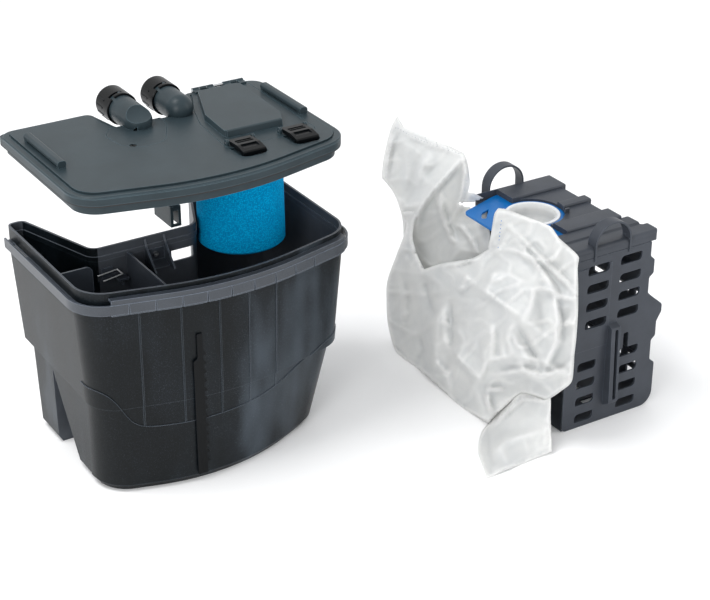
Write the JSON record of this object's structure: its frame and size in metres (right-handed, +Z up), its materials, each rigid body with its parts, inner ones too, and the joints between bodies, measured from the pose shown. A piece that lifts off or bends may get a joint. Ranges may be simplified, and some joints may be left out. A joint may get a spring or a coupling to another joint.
{
  "type": "canister filter",
  "caption": "Wet filter with a moulded tub, a lift-off lid with hose ports, hatch and foam sleeve, and a slotted cage that takes a fleece bag on a slide-in collar.",
  "frame": {"origin": "on the floor, on the underside of the tub's floor, 60 mm in front of the recessed wall's plan datum and midway along the tub", "axes": "+X along the tub's length towards the filter cage, +Y to the back, where the hose ports are, +Z up"},
  "size_m": [0.807, 0.5053, 0.4718],
  "materials": {
    "tub_plastic": "dark moulded, satin",
    "rim_plastic": "satin",
    "lid_plastic": "satin, grey green",
    "cage_plastic": "satin, slate",
    "black_plastic": "satin",
    "seal_rubber": "matt",
    "steel": "brushed",
    "foam": "open-pored",
    "blue_plastic": "satin",
    "white_rubber": "matt",
    "fleece": "thin, slightly see-through"
  },
  "bodies": {
    "tub": {"tub_shell": "tub_plastic", "rim_band": "rim_plastic", "divider": "tub_plastic", "baffle_panel": "tub_plastic", "wall_bracket": "tub_plastic", "bracket_screw": "steel", "spring_clip": "steel", "clip_saddle": "tub_plastic", "level_strip": "black_plastic"},
    "lid": {"lid_shell": "lid_plastic", "lid_flange": "lid_plastic", "lid_skirt": "lid_plastic", "lid_seal": "seal_rubber", "inlet_port": "lid_plastic", "inlet_catch": "black_plastic", "inlet_channel": "lid_plastic", "outlet_port": "lid_plastic", "outlet_channel": "lid_plastic", "rear_duct": "lid_plastic", "side_bar_left": "lid_plastic", "side_bar_right": "lid_plastic", "foam_core": "lid_plastic", "foam_sleeve": "foam", "hinge_pin": "steel"},
    "hatch": {"hatch_cover": "lid_plastic", "hatch_seal": "seal_rubber", "buckle_pins": "steel"},
    "buckle_left": {"buckle_left": "black_plastic"},
    "buckle_right": {"buckle_right": "black_plastic"},
    "cuff_left": {"cuff_left": "black_plastic"},
    "cuff_right": {"cuff_right": "black_plastic"},
    "cage": {"cage_side_near": "cage_plastic", "cage_side_far": "cage_plastic", "cage_back": "cage_plastic", "cage_deck": "cage_plastic", "loop_near": "cage_plastic", "loop_far": "cage_plastic"},
    "collar": {"collar_plate": "blue_plastic", "collar_ring": "white_rubber", "filter_bag": "fleece"}
  },
  "joints": [
    {"name": "lid_lift", "type": "slide", "parent": "tub", "child": "lid", "axis": [0, 0, 1], "range_m": [-0.12, 0.1]},
    {"name": "hatch_hinge", "type": "hinge", "parent": "lid", "child": "hatch", "pos_m": [0.134, 0.1925, 0.4433], "axis": [-1, 0, 0], "range_deg": [0, 100]},
    {"name": "buckle_left_pivot", "type": "hinge", "parent": "hatch", "child": "buckle_left", "pos_m": [0.06, -0.008, 0.4463], "axis": [-1, 0, 0], "range_deg": [0, 70]},
    {"name": "buckle_right_pivot", "type": "hinge", "parent": "hatch", "child": "buckle_right", "pos_m": [0.14, -0.008, 0.4463], "axis": [-1, 0, 0], "range_deg": [0, 70]},
    {"name": "cuff_left_turn", "type": "hinge", "parent": "lid", "child": "cuff_left", "pos_m": [-0.028, 0.185, 0.4488], "axis": [0, 1, 0], "range_deg": [0, 35]},
    {"name": "cuff_right_turn", "type": "hinge", "parent": "lid", "child": "cuff_right", "pos_m": [0.04, 0.185, 0.4488], "axis": [0, 1, 0], "range_deg": [0, 35]},
    {"name": "cage_lift", "type": "slide", "parent": "tub", "child": "cage", "axis": [0, 0, 1], "range_m": [0, 0.3]},
    {"name": "collar_slide", "type": "slide", "parent": "cage", "child": "collar", "axis": [-1, 0, 0], "range_m": [0, 0.12]}
  ]
}
